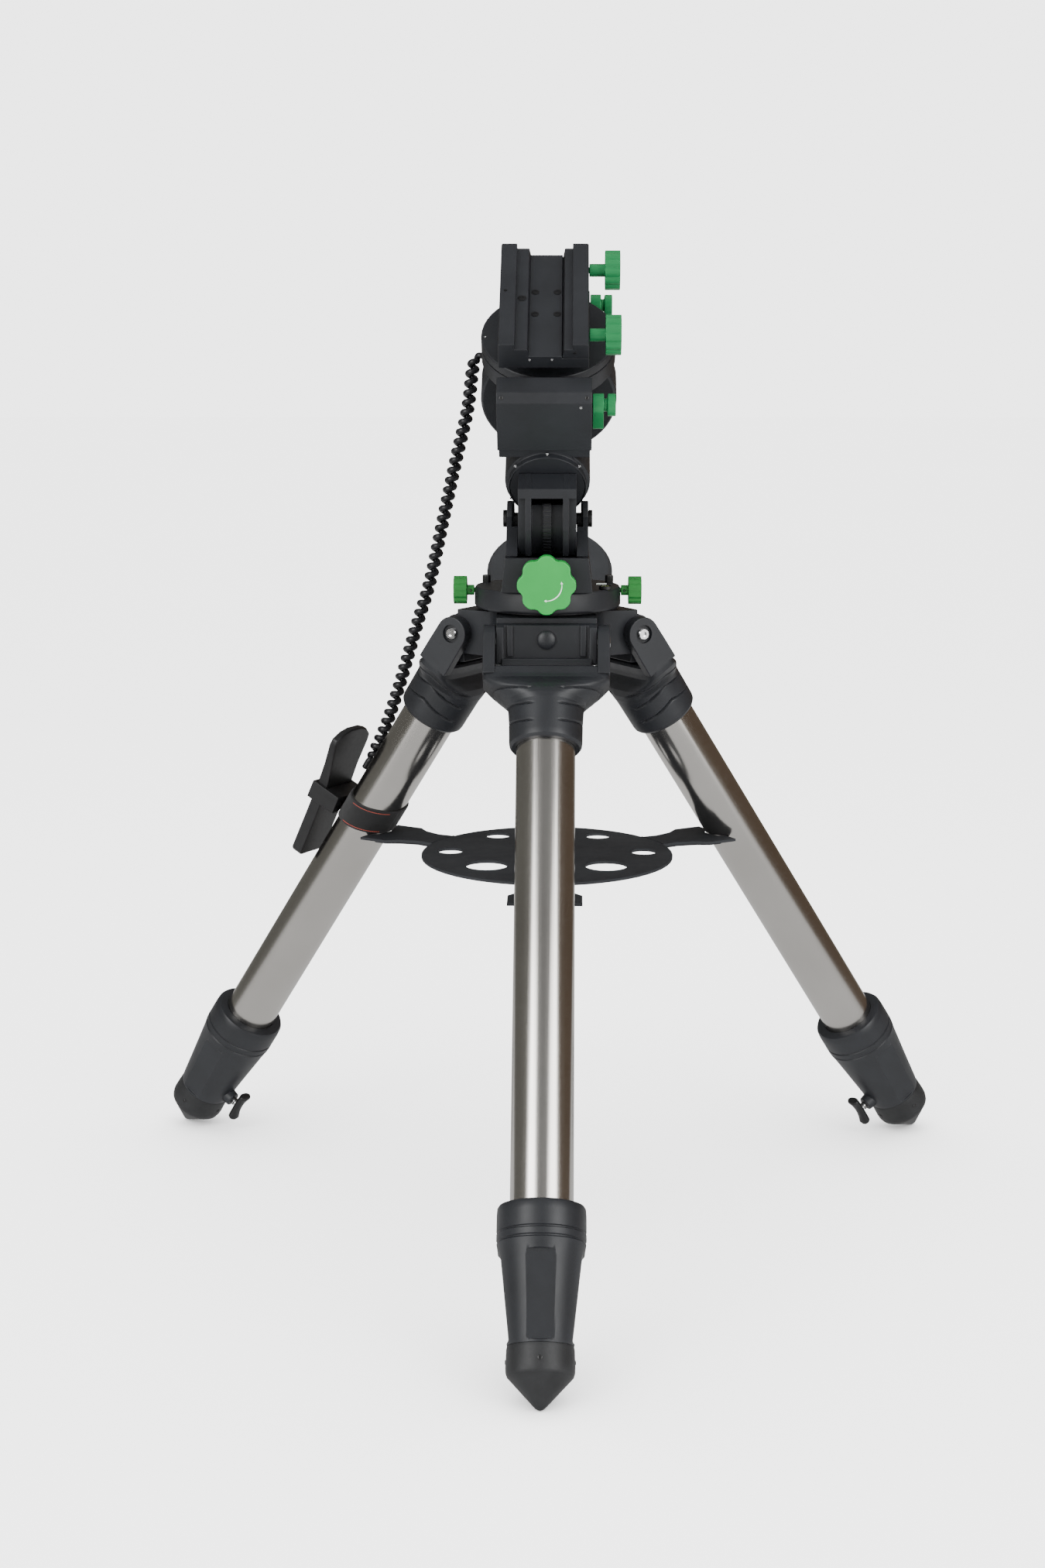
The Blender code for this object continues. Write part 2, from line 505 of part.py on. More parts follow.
def smooth(points, steps):
    """Catmull-Rom points through a route."""
    padded = [points[0]] + points + [points[-1]]
    out = []
    for i in range(1, len(padded) - 2):
        a, b, c, d = padded[i - 1:i + 3]
        for k in range(steps):
            t = k / steps
            out.append(tuple(0.5 * (2 * b[n] + (c[n] - a[n]) * t
                                    + (2 * a[n] - 5 * b[n] + 4 * c[n] - d[n]) * t * t
                                    + (3 * b[n] - a[n] - 3 * c[n] + d[n]) * t ** 3)
                             for n in range(3)))
    return out + [points[-1]]


def curly_cord(parent, mats):
    points = smooth(cord_route(), 3)
    curve = bpy.data.curves.new("handset_cord", "CURVE")
    curve.dimensions = "3D"
    curve.bevel_depth = 0.0075
    curve.bevel_resolution = 2
    curve.use_fill_caps = True
    spline = curve.splines.new("POLY")
    spline.points.add(len(points) - 1)
    for point, place in zip(spline.points, points):
        point.co = (*place, 1)
    curve.materials.append(mats["rubber"])
    cord = bpy.data.objects.new("handset_cord", curve)
    bpy.context.collection.objects.link(cord)
    cord.parent = parent


# The whole mount -----------------------------------------------------------------------

def main():
    for obj in list(bpy.data.objects):
        bpy.data.objects.remove(obj)
    mats = {
        "paint": finish("black_casting", (0.020, 0.022, 0.028), 0.42, 0.1),
        "green": finish("green_anodised", (0.02, 0.42, 0.09), 0.30, 0.7),
        "tube": finish("brushed_tube", (0.62, 0.60, 0.57), 0.28, 1.0),
        "steel": finish("bright_steel", (0.60, 0.60, 0.60), 0.25, 1.0),
        "steel_dark": finish("dark_steel", (0.05, 0.05, 0.05), 0.40, 0.8),
        "brass": finish("brass", (0.60, 0.42, 0.15), 0.35, 1.0),
        "plastic": finish("black_plastic", (0.016, 0.016, 0.017), 0.45, 0),
        "rubber": finish("black_rubber", (0.014, 0.014, 0.015), 0.55, 0),
        "webbing": finish("webbing", (0.015, 0.015, 0.016), 0.85, 0),
        "glass": finish("level_glass", (0.75, 0.80, 0.62), 0.08, 0),
    }
    stand = frame("tripod_axis", (0, AXIS_Y, 0))
    hub(stand, mats["paint"])
    leg_frames = {}
    for side, angle in LEGS:
        a = radians(angle - 90)
        at = (HINGE_R * cos(a), HINGE_R * sin(a), HINGE_Z)
        leg_frames[side] = frame(f"leg_frame_{side}", at, (-LEG_TILT, 0, angle), stand)
        leg(side, leg_frames[side], mats)
    tray(stand, mats)
    azimuth_base(stand, mats)
    yoke(stand, mats)
    tilt_block(stand, mats)
    polar = frame("polar_frame", (0, POLAR_Y, POLAR_Z), (POLAR_TILT, 0, 0), stand)
    polar_body(polar, mats)
    axis_housing(polar, mats)
    declination(polar, mats)
    saddle(polar, mats)
    counterweight(polar, mats)
    strap(leg_frames["left"], mats)
    handset(leg_frames["left"], mats)
    curly_cord(stand, mats)


main()
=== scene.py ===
"""Looks for an equatorial telescope mount on its steel tripod.

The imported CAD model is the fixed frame. Every piece is built in one of a few local frames
taken from its joints: the tripod axis, a frame for each leg and the polar frame. In a leg
frame the hinge is the origin, -Z runs down the leg and -Y faces outwards. In the polar
frame +Y runs up the polar axis and +Z up the declination axis.
"""

import json
from math import cos, pi, radians, sin, sqrt

import bmesh
import bpy
from mathutils import Matrix, Vector

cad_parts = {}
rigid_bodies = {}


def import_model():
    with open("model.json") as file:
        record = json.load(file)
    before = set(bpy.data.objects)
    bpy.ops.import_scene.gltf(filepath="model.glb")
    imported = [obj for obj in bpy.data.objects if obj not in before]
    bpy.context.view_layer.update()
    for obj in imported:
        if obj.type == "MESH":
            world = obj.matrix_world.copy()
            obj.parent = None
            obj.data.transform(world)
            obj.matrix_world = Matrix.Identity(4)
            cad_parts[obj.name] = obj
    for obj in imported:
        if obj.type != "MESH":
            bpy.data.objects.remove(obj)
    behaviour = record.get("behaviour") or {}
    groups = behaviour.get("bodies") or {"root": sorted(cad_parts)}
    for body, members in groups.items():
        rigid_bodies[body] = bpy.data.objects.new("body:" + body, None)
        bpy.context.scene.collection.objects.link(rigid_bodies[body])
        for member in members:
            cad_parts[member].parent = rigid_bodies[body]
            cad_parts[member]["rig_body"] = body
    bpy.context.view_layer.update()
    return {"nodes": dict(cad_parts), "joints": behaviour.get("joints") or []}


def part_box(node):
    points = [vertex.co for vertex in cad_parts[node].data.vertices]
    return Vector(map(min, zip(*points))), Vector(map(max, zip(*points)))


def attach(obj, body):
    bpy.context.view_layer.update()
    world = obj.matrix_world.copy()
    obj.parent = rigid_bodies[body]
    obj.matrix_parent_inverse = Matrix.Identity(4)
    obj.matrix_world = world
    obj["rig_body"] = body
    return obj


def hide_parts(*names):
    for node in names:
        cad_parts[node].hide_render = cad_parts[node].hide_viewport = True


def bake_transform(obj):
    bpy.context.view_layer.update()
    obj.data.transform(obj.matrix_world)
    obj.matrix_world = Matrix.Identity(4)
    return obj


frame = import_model()

JOINTS = {joint["name"]: joint for joint in frame["joints"]}
SIDES = ("front", "right", "left")
AXIS_Y = JOINTS["azimuth_turn"]["pos_m"][1]
BASE_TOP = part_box("azimuth_base")[1].z
TRAY_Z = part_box("accessory_tray")[1].z
PIVOT_Z = JOINTS["altitude_tilt"]["pos_m"][2]

ALONG_X = Matrix.Rotation(radians(90), 4, "Y")      # lays a piece made along Z along +X
ALONG_Y = Matrix.Rotation(radians(-90), 4, "X")
SIDE_ON = Matrix(((0, 0, 1, 0), (1, 0, 0, 0), (0, 1, 0, 0), (0, 0, 0, 1)))    # X, Y drawn as Y, Z


def axes(origin, x, z):
    """A frame from its origin and two of its axes."""
    x, z = Vector(x).normalized(), Vector(z).normalized()
    turned = Matrix((x, z.cross(x), z)).transposed().to_4x4()
    return Matrix.Translation(Vector(origin)) @ turned


def leg_frame(side):
    hinge, slide = JOINTS[f"leg_fold_{side}"], JOINTS[f"leg_slide_{side}"]
    return axes(hinge["pos_m"], hinge["axis"], -Vector(slide["axis"]))


STAND = Matrix.Translation((0, AXIS_Y, 0))
LEGS = {side: leg_frame(side) for side in SIDES}
POLAR = axes(JOINTS["polar_turn"]["pos_m"], (1, 0, 0), JOINTS["dec_turn"]["axis"])


# Materials -----------------------------------------------------------------------------

class Finish:
    """A procedural material, with short ways to add noise, colour and bump."""

    def __init__(self, name, colour, roughness, metallic=0.0, **sockets):
        self.material = bpy.data.materials.new(name)
        self.material.use_nodes = True
        self.tree = self.material.node_tree
        self.shader = self.tree.nodes["Principled BSDF"]
        self.shader.inputs["Base Color"].default_value = (*colour, 1)
        self.shader.inputs["Roughness"].default_value = roughness
        self.shader.inputs["Metallic"].default_value = metallic
        for socket, value in sockets.items():
            self.shader.inputs[socket.replace("_", " ")].default_value = value

    def node(self, kind, **settings):
        made = self.tree.nodes.new(kind)
        for key, value in settings.items():
            setattr(made, key, value)
        return made

    def place(self, stretch=(1, 1, 1)):
        """Points in the piece's own frame, scaled along each axis."""
        source = self.node("ShaderNodeTexCoord")
        mapping = self.node("ShaderNodeMapping")
        mapping.inputs["Scale"].default_value = stretch
        self.tree.links.new(source.outputs["Object"], mapping.inputs["Vector"])
        return mapping.outputs["Vector"]

    def noise(self, scale, detail=2.0, stretch=(1, 1, 1)):
        texture = self.node("ShaderNodeTexNoise")
        texture.inputs["Scale"].default_value = scale
        texture.inputs["Detail"].default_value = detail
        self.tree.links.new(self.place(stretch), texture.inputs["Vector"])
        return texture.outputs["Fac"]

    def wave(self, scale, direction):
        texture = self.node("ShaderNodeTexWave", bands_direction=direction)
        texture.inputs["Scale"].default_value = scale
        self.tree.links.new(self.place(), texture.inputs["Vector"])
        return texture.outputs["Fac"]

    def colours(self, value, low, high, start=0.3, end=0.7):
        ramp = self.node("ShaderNodeValToRGB")
        ramp.color_ramp.elements[0].position = start
        ramp.color_ramp.elements[0].color = (*low, 1)
        ramp.color_ramp.elements[1].position = end
        ramp.color_ramp.elements[1].color = (*high, 1)
        self.tree.links.new(value, ramp.inputs["Fac"])
        self.tree.links.new(ramp.outputs["Color"], self.shader.inputs["Base Color"])
        return self

    def rough(self, value, low, high):
        spread = self.node("ShaderNodeMapRange")
        spread.inputs["To Min"].default_value = low
        spread.inputs["To Max"].default_value = high
        self.tree.links.new(value, spread.inputs["Value"])
        self.tree.links.new(spread.outputs["Result"], self.shader.inputs["Roughness"])
        return self

    def bump(self, value, strength, distance):
        relief = self.node("ShaderNodeBump")
        relief.inputs["Strength"].default_value = strength
        relief.inputs["Distance"].default_value = distance
        self.tree.links.new(value, relief.inputs["Height"])
        self.tree.links.new(relief.outputs["Normal"], self.shader.inputs["Normal"])
        return self


def painted(name, low, high, roughness=0.40, grain=0.25, gloss=0.38):
    """Satin paint on a casting: slight mottling and a fine orange peel."""
    paint = Finish(name, low, roughness, Specular_IOR_Level=gloss)
    paint.colours(paint.noise(14, 4), low, high)
    paint.rough(paint.noise(60, 3), roughness - 0.05, roughness + 0.08)
    paint.bump(paint.noise(900, 3), grain, 0.0002)
    return paint.material


def brushed(name, low, high, roughness, stretch, scale=1.0, spread=0.08):
    """Bare metal with fine lines along one direction."""
    metal = Finish(name, low, roughness, 1.0)
    lines = metal.noise(scale, 3, stretch)
    metal.colours(metal.noise(6, 3), low, high, 0.25, 0.75)
    metal.rough(lines, roughness - spread, roughness + spread)
    metal.bump(lines, 0.05, 0.0001)
    return metal.material


def anodised(name, low, high, roughness, metallic):
    """Dyed aluminium with fine turning marks."""
    metal = Finish(name, low, roughness, metallic)
    metal.colours(metal.noise(30, 3), low, high)
    metal.rough(metal.noise(700, 2, (1, 1, 0.1)), roughness - 0.06, roughness + 0.08)
    metal.bump(metal.noise(1500, 2), 0.06, 0.0001)
    return metal.material


def moulded(name, low, high, roughness, grain):
    """Plastic or rubber with a fine stipple."""
    plastic = Finish(name, low, roughness, Specular_IOR_Level=0.38)
    plastic.colours(plastic.noise(40, 3), low, high)
    plastic.rough(plastic.noise(200, 2), roughness - 0.06, roughness + 0.06)
    plastic.bump(plastic.noise(1400, 2), grain, 0.0002)
    return plastic.material


def woven(name):
    """Nylon webbing: two crossing sets of ribs."""
    cloth = Finish(name, (0.02, 0.02, 0.022), 0.85, Sheen_Weight=0.08,
                   Specular_IOR_Level=0.25)
    warp, weft = cloth.wave(420, "Z"), cloth.wave(300, "Y")
    cross = cloth.node("ShaderNodeMath", operation="MULTIPLY")
    cloth.tree.links.new(warp, cross.inputs[0])
    cloth.tree.links.new(weft, cross.inputs[1])
    cloth.colours(cross.outputs["Value"], (0.002, 0.002, 0.0022), (0.008, 0.008, 0.0088), 0.1, 0.9)
    cloth.bump(cross.outputs["Value"], 0.6, 0.0004)
    return cloth.material


def liquid(name):
    """The yellow-green fluid of a bubble level, under a clear lens."""
    fluid = Finish(name, (0.55, 0.75, 0.12), 0.06, Coat_Weight=0.8, Coat_Roughness=0.03)
    fluid.colours(fluid.noise(80, 2), (0.24, 0.34, 0.045), (0.31, 0.40, 0.090))
    return fluid.material


PAINT = painted("casting_paint", (0.0062, 0.0068, 0.0082), (0.0088, 0.0097, 0.0118))
WEIGHT_PAINT = painted("weight_paint", (0.011, 0.012, 0.0135), (0.015, 0.016, 0.018), 0.48, 0.5)
TRAY_PAINT = painted("tray_paint", (0.012, 0.0128, 0.0145), (0.0155, 0.0165, 0.0185), 0.62, 0.35, 0.12)
# Near-black: the level's printed ring, and painted shade on the saddle's sunk screw heads.
DARK = painted("window_shadow_paint", (0.002, 0.002, 0.0023), (0.0035, 0.0035, 0.0038), 0.55)
TUBE = brushed("leg_tube_steel", (0.52, 0.50, 0.47), (0.60, 0.58, 0.55), 0.20, (700, 700, 5))
STEEL = brushed("bright_steel", (0.60, 0.60, 0.60), (0.70, 0.70, 0.70), 0.20, (300, 300, 300))
DARK_STEEL = brushed("dark_steel", (0.05, 0.05, 0.05), (0.09, 0.09, 0.09), 0.34, (400, 400, 400))
CHROME = brushed("chromed_steel", (0.72, 0.72, 0.73), (0.80, 0.80, 0.80), 0.12, (90, 90, 90), 1, 0.03)
BRASS = brushed("gear_brass", (0.55, 0.37, 0.12), (0.66, 0.46, 0.17), 0.30, (300, 300, 300))
GREEN = anodised("green_anodised", (0.014, 0.135, 0.024), (0.020, 0.170, 0.032), 0.30, 0.45)
TEAL = anodised("teal_anodised", (0.009, 0.140, 0.042), (0.012, 0.165, 0.052), 0.30, 0.45)
BRIGHT_GREEN = anodised("bright_green_face", (0.0012, 0.185, 0.023), (0.0018, 0.205, 0.027), 0.38, 0.10)
PLASTIC = moulded("black_plastic", (0.0042, 0.0042, 0.0046), (0.0065, 0.0065, 0.0068), 0.42, 0.25)
RUBBER = moulded("cord_rubber", (0.0040, 0.0040, 0.0048), (0.0070, 0.0070, 0.0082), 0.34, 0.10)
KEY_RUBBER = moulded("key_rubber", (0.070, 0.074, 0.078), (0.095, 0.099, 0.104), 0.55, 0.15)
FOOT = moulded("foot_rubber", (0.0058, 0.0061, 0.0066), (0.0092, 0.0096, 0.0104), 0.50, 0.35)
WEBBING = woven("strap_webbing")
THREAD = moulded("red_thread", (0.26, 0.035, 0.020), (0.34, 0.055, 0.032), 0.70, 0.30)
WHITE_INK = moulded("white_ink", (0.40, 0.44, 0.40), (0.48, 0.52, 0.48), 0.50, 0.05)
GLASS = liquid("level_fluid")
SCREEN = moulded("screen_glass", (0.020, 0.028, 0.024), (0.030, 0.040, 0.034), 0.10, 0.0)


# Mesh tools ----------------------------------------------------------------------------

def lathe(profile, steps=96):
    """A body turned about Z from (radius, height) points, closed if the profile is."""
    bm = bmesh.new()
    rings = []
    for radius, height in profile:
        if radius == 0:
            rings.append([bm.verts.new((0, 0, height))])
            continue
        turns = [2 * pi * i / steps for i in range(steps)]
        rings.append([bm.verts.new((radius * cos(a), radius * sin(a), height)) for a in turns])
    pairs = list(zip(rings, rings[1:]))
    if all(len(ring) > 1 for ring in rings):
        pairs.append((rings[-1], rings[0]))
    for low, high in pairs:
        bridge(bm, low, high)
    return bm


def bridge(bm, low, high):
    """Faces between two rings, either of which may be a single point."""
    count = max(len(low), len(high))
    for i in range(count):
        j = (i + 1) % count
        if len(low) == 1:
            bm.faces.new((low[0], high[i], high[j]))
        elif len(high) == 1:
            bm.faces.new((low[i], high[0], low[j]))
        else:
            bm.faces.new((low[i], high[i], high[j], low[j]))


def loft(sections):
    """A closed body through rings of points."""
    bm = bmesh.new()
    rings = [[bm.verts.new(point) for point in section] for section in sections]
    for low, high in zip(rings, rings[1:]):
        bridge(bm, low, high)
    bm.faces.new(rings[0])
    bm.faces.new(rings[-1])
    return bm


def prism(outline, low, high):
    return loft([[(x, y, z) for x, y in outline] for z in (low, high)])


def block(x, y, z, round_off=0.0, segments=2):
    """A box from (low, high) spans, with its edges rounded."""
    bm = prism([(x[0], y[0]), (x[1], y[0]), (x[1], y[1]), (x[0], y[1])], z[0], z[1])
    if round_off:
        soften(bm, round_off, segments, 30)
    return bm


def soften(bm, width, segments=2, angle=30):
    """Rounds every edge sharper than an angle."""
    bmesh.ops.recalc_face_normals(bm, faces=bm.faces)
    sharp = [e for e in bm.edges if len(e.link_faces) == 2 and e.calc_face_angle(0) > radians(angle)]
    bmesh.ops.bevel(bm, geom=sharp, offset=width, segments=segments, profile=0.5,
                    affect="EDGES", clamp_overlap=False)
    return bm


def arc(centre, radius, start, end, steps):
    turns = [radians(start + (end - start) * i / steps) for i in range(steps + 1)]
    return [(centre[0] + radius * cos(a), centre[1] + radius * sin(a)) for a in turns]


def superellipse(half_x, half_y, power, z, steps=96):
    """A ring between a circle (power 2) and a rounded rectangle."""
    ring = []
    for i in range(steps):
        a = 2 * pi * i / steps
        c, s = cos(a), sin(a)
        x = half_x * abs(c) ** (2 / power) * (1 if c >= 0 else -1)
        y = half_y * abs(s) ** (2 / power) * (1 if s >= 0 else -1)
        ring.append((x, y, z))
    return ring


def socket_head(radius, height, socket=0.5, depth=0.5, steps=24):
    """A screw head standing on Z = 0, with a hexagonal socket."""
    bm = bmesh.new()
    inner = []
    for i in range(steps):
        a = 2 * pi * i / steps
        across = (a + pi / 6) % (pi / 3) - pi / 6
        inner.append((socket * radius * cos(pi / 6) / cos(across), a))
    def ring(size, z):
        return [bm.verts.new((size * cos(2 * pi * i / steps), size * sin(2 * pi * i / steps), z))
                for i in range(steps)]
    def hexagon(z, share=1.0):
        return [bm.verts.new((share * r * cos(a), share * r * sin(a), z)) for r, a in inner]
    centre_low, centre_top = [bm.verts.new((0, 0, 0))], [bm.verts.new((0, 0, height * (1 - depth)))]
    rings = [centre_low, ring(radius, 0), ring(radius, height * 0.75), ring(radius * 0.86, height),
             hexagon(height), hexagon(height * (1 - depth)), centre_top]
    for low, high in zip(rings, rings[1:]):
        bridge(bm, low, high)
    return bm


# Object tools --------------------------------------------------------------------------

def piece(name, bm, material, body, at=Matrix.Identity(4), angle=35):
    """A finished piece in a local frame, riding on a body."""
    bmesh.ops.recalc_face_normals(bm, faces=bm.faces)
    mesh = bpy.data.meshes.new(name)
    bm.to_mesh(mesh)
    bm.free()
    return shown(name, mesh, material, body, at, angle)


def shown(name, mesh, material, body, at, angle=35):
    mesh.materials.clear()
    mesh.materials.append(material)
    mesh.shade_smooth()
    mesh.set_sharp_from_angle(angle=radians(angle))
    obj = bpy.data.objects.new(name, mesh)
    bpy.context.scene.collection.objects.link(obj)
    obj.matrix_world = at
    weighted = obj.modifiers.new("even_shading", "WEIGHTED_NORMAL")
    weighted.keep_sharp = True
    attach(obj, body)
    return obj


def cad_copy(node, at):
    """The CAD node's shape in a local frame, with its flat faces made whole again."""
    bm = bmesh.new()
    bm.from_mesh(frame["nodes"][node].data)
    bm.transform(at.inverted())
    bmesh.ops.remove_doubles(bm, verts=bm.verts, dist=0.00002)
    bmesh.ops.dissolve_degenerate(bm, dist=0.00002, edges=bm.edges)
    bmesh.ops.dissolve_limit(bm, angle_limit=radians(1), verts=bm.verts, edges=bm.edges)
    return bm


def refined(node, at, material, width=0.0008, segments=2, angle=35):
    """A CAD node shown again with rounded edges and its own finish."""
    bm = cad_copy(node, at)
    if width:
        soften(bm, width, segments, angle)
    obj = piece(f"{node}_finished", bm, material, body_of(node), at)
    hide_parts(node)
    return obj


def body_of(node):
    return frame["nodes"][node]["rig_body"]


def combined(bm, other, operation):
    """The union or difference of two closed bodies."""
    objects = []
    for label, source in (("whole", bm), ("tool", other)):
        bmesh.ops.recalc_face_normals(source, faces=source.faces)
        mesh = bpy.data.meshes.new(label)
        source.to_mesh(mesh)
        source.free()
        obj = bpy.data.objects.new(label, mesh)
        bpy.context.scene.collection.objects.link(obj)
        objects.append(obj)
    whole, tool = objects
    modifier = whole.modifiers.new(operation, "BOOLEAN")
    modifier.operation = operation
    modifier.object = tool
    modifier.solver = "EXACT"
    done = bpy.data.meshes.new_from_object(
        whole.evaluated_get(bpy.context.evaluated_depsgraph_get()))
    result = bmesh.new()
    result.from_mesh(done)
    for obj in objects:
        bpy.data.objects.remove(obj)
    return result


def moved(bm, matrix):
    bm.transform(matrix)
    return bm


def screw(name, at, body, radius, height=0.0012, material=None):
    """A screw head, its base at the origin of a local frame and its face along +Z."""
    return piece(name, socket_head(radius, height), material or STEEL, body, at)


def facing(point, direction, parent):
    """A local frame at a point of a parent frame, with +Z along a direction there."""
    turn = Vector((0, 0, 1)).rotation_difference(Vector(direction)).to_matrix().to_4x4()
    return parent @ Matrix.Translation(Vector(point)) @ turn


# Camera --------------------------------------------------------------------------------

def camera():
    data = bpy.data.cameras.new("camera")
    data.sensor_fit = "VERTICAL"
    data.sensor_height = 36
    data.lens = 52.64
    obj = bpy.data.objects.new("camera", data)
    bpy.context.scene.collection.objects.link(obj)
    obj.location = (0.0315, AXIS_Y - 3.0969, 1.2168)
    obj.rotation_euler = (radians(90 - 11.20), 0, radians(1.21))
    bpy.context.scene.camera = obj


# Curly cord ----------------------------------------------------------------------------

CORD_ROUTE = [(-0.0800, 0.1615, 1.1818), (-0.0930, 0.1613, 1.1818), (-0.1035, 0.1605, 1.1760),
              (-0.1075, 0.1595, 1.1600), (-0.1145, 0.1585, 1.1064), (-0.1299, 0.1580, 1.0418),
              (-0.1493, 0.1580, 0.9547), (-0.1688, 0.1580, 0.8666), (-0.1893, 0.1585, 0.8000),
              (-0.2159, 0.1600, 0.7109), (-0.2400, 0.1620, 0.6432), (-0.2620, 0.1650, 0.6023),
              (-0.2670, 0.1665, 0.5940)]
WIRE = 0.0086             # the wire, and the helix that its middle follows
COIL_R = 0.0058
COIL_PITCH = 0.0138
COIL_POINTS = 14          # points on each turn


def smooth(points, steps):
    """Catmull-Rom points through a route."""
    padded = [points[0]] + points + [points[-1]]
    out = []
    for i in range(1, len(padded) - 2):
        a, b, c, d = (Vector(p) for p in padded[i - 1:i + 3])
        for k in range(steps):
            t = k / steps
            out.append(0.5 * (2 * b + (c - a) * t + (2 * a - 5 * b + 4 * c - d) * t ** 2
                              + (3 * b - a - 3 * c + d) * t ** 3))
    return out + [Vector(points[-1])]


def evenly(points, gap):
    """Points at even distances along a line."""
    out, left = [points[0]], gap
    for a, b in zip(points, points[1:]):
        run = (b - a).length
        while run >= left:
            a = a + (b - a) * (left / run)
            out.append(a)
            run -= left
            left = gap
        left -= run
    return out


def helix(route):
    """The wire's middle line round a route, straight for a little at both ends."""
    gap = COIL_PITCH / COIL_POINTS
    spine = evenly(smooth(route, 24), gap)
    straight, grow = 10, 2 * COIL_POINTS
    across = Vector((1, 0, 0))
    line = []
    for i, centre in enumerate(spine):
        along = (spine[min(i + 1, len(spine) - 1)] - spine[max(i - 1, 0)]).normalized()
        across = (across - along * across.dot(along)).normalized()
        away = across.cross(along)
        inset = min(i, len(spine) - 1 - i) - straight
        radius = COIL_R * min(1, max(0, inset / grow))
        a = 2 * pi * i / COIL_POINTS
        line.append(centre + radius * (across * sin(a) + away * cos(a)))
    return line


def pipe(line, radius, sides=10):
    """A closed tube along a line of points."""
    across = (Vector((0, 0, 1)).cross(line[1] - line[0])).normalized()
    sections = []
    for i, centre in enumerate(line):
        along = (line[min(i + 1, len(line) - 1)] - line[max(i - 1, 0)]).normalized()
        across = (across - along * across.dot(along)).normalized()
        away = along.cross(across)
        turns = [2 * pi * k / sides for k in range(sides)]
        sections.append([centre + radius * (across * cos(a) + away * sin(a)) for a in turns])
    return loft(sections)


def curly_cord():
    line = [p + Vector((0, AXIS_Y, 0)) for p in helix(CORD_ROUTE)]
    mesh = bpy.data.meshes.new("curly_cord")
    bm = pipe(line, WIRE / 2)
    bmesh.ops.recalc_face_normals(bm, faces=bm.faces)
    bm.to_mesh(mesh)
    bm.free()
    mesh.materials.append(RUBBER)
    mesh.shade_smooth()
    cord = bpy.data.objects.new("curly_cord", mesh)
    bpy.context.scene.collection.objects.link(cord)
    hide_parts("handset_cord")
    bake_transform(cord)


# Tripod --------------------------------------------------------------------------------

GROOVES = (0.087, 0.109, 0.133)     # arcs cut in the clamp, down the leg at its outer face
GROOVE_RISE = 0.013                 # how much higher they are at the sides
GROOVE_CUT = 0.0026
GROOVE_HALF = 0.0020                # half their width
GROOVE_END = 0.93                   # sine of the angle where they stop short of the outer face
EAR_R = 0.0230
LUG_R = 0.0250                      # rounding of the hub's lugs about the leg hinges
HEEL_R = 0.0412                     # their rounded undersides, just clear of the clamps
CLAMP_SCREW_Z = -0.893              # in a leg frame
FOOT_SCREW_Z = -0.930
TUBE_R = 0.0381                     # the leg tubes, outside and inside
TUBE_BORE = 0.0361
INNER_R = 0.0317                    # the sliding tubes
INNER_BORE = 0.0297


def groove_depth(t, angle):
    """How far the clamp's side grooves are cut at a station and an angle round the leg."""
    side = abs(sin(angle))
    if side > GROOVE_END:
        return 0.0
    nearest = min(abs(t + GROOVE_RISE * (1 - side) - g) for g in GROOVES)
    return GROOVE_CUT * max(0, 1 - nearest / GROOVE_HALF) * min(1, (GROOVE_END - side) / 0.04)


def clamp_body():
    """The casting that flows from a wide fork to a round collar."""
    keys = [(0.0435, 0.0800, 0.0200, 6), (0.0460, 0.0830, 0.0230, 6), (0.0560, 0.0832, 0.0240, 6),
            (0.0630, 0.0826, 0.0270, 5), (0.0700, 0.0760, 0.0340, 4), (0.0780, 0.0680, 0.0410, 3),
            (0.0860, 0.0590, 0.0455, 2.5), (0.0930, 0.0520, 0.0475, 2.2), (0.1000, 0.0492, 0.0480, 2),
            (0.1200, 0.0480, 0.0478, 2), (0.1460, 0.0475, 0.0475, 2), (0.1505, 0.0468, 0.0468, 2),
            (0.1540, 0.0440, 0.0440, 2)]
    sections = []
    stations = sorted({key[0] for key in keys} | {0.0712 + 0.0008 * i for i in range(84)}
                      | {0.050 + 0.004 * i for i in range(26)})
    for t in stations:
        low = max((k for k in keys if k[0] <= t), key=lambda k: k[0])
        high = min((k for k in keys if k[0] >= t), key=lambda k: k[0])
        share = 0 if low == high else (t - low[0]) / (high[0] - low[0])
        half_x, half_y, power = (a + (b - a) * share for a, b in zip(low[1:], high[1:]))
        ring = []
        for x, y, z in superellipse(half_x, half_y, power, -t):
            reach = sqrt(x * x + y * y)
            cut = groove_depth(t, Vector((x, y)).angle_signed(Vector((1, 0)))) / reach
            ring.append((x * (1 - cut), y * (1 - cut), z))
        sections.append(ring)
    return loft(sections)


def ear(side):
    """One fork ear, round about the bolt, with a recess for the bolt's head."""
    outline = arc((0, 0), EAR_R, 0, 180, 28) + [(-0.0237, -0.030), (-0.0239, -0.056),
                                                (0.0239, -0.056), (0.0237, -0.030)]
    span = sorted((side * 0.0668, side * 0.0830))
    bm = soften(prism(outline, *span), 0.0016, 3)
    bm = moved(bm, SIDE_ON)
    recess = moved(lathe([(0, 0.0790), (0.0122, 0.0790), (0.0128, 0.0900), (0, 0.0900)], 40),
                   ALONG_X if side > 0 else Matrix.Rotation(radians(-90), 4, "Y"))
    return combined(bm, recess, "DIFFERENCE")


def clamp_mesh():
    bm = clamp_body()
    for side in (-1, 1):
        bm = combined(bm, ear(side), "UNION")
    bore = moved(lathe([(0, -0.05), (0.0384, -0.05), (0.0384, 0.05), (0, 0.05)], 96),
                 Matrix.Translation((0, 0, -0.1355)))
    return combined(bm, bore, "DIFFERENCE")


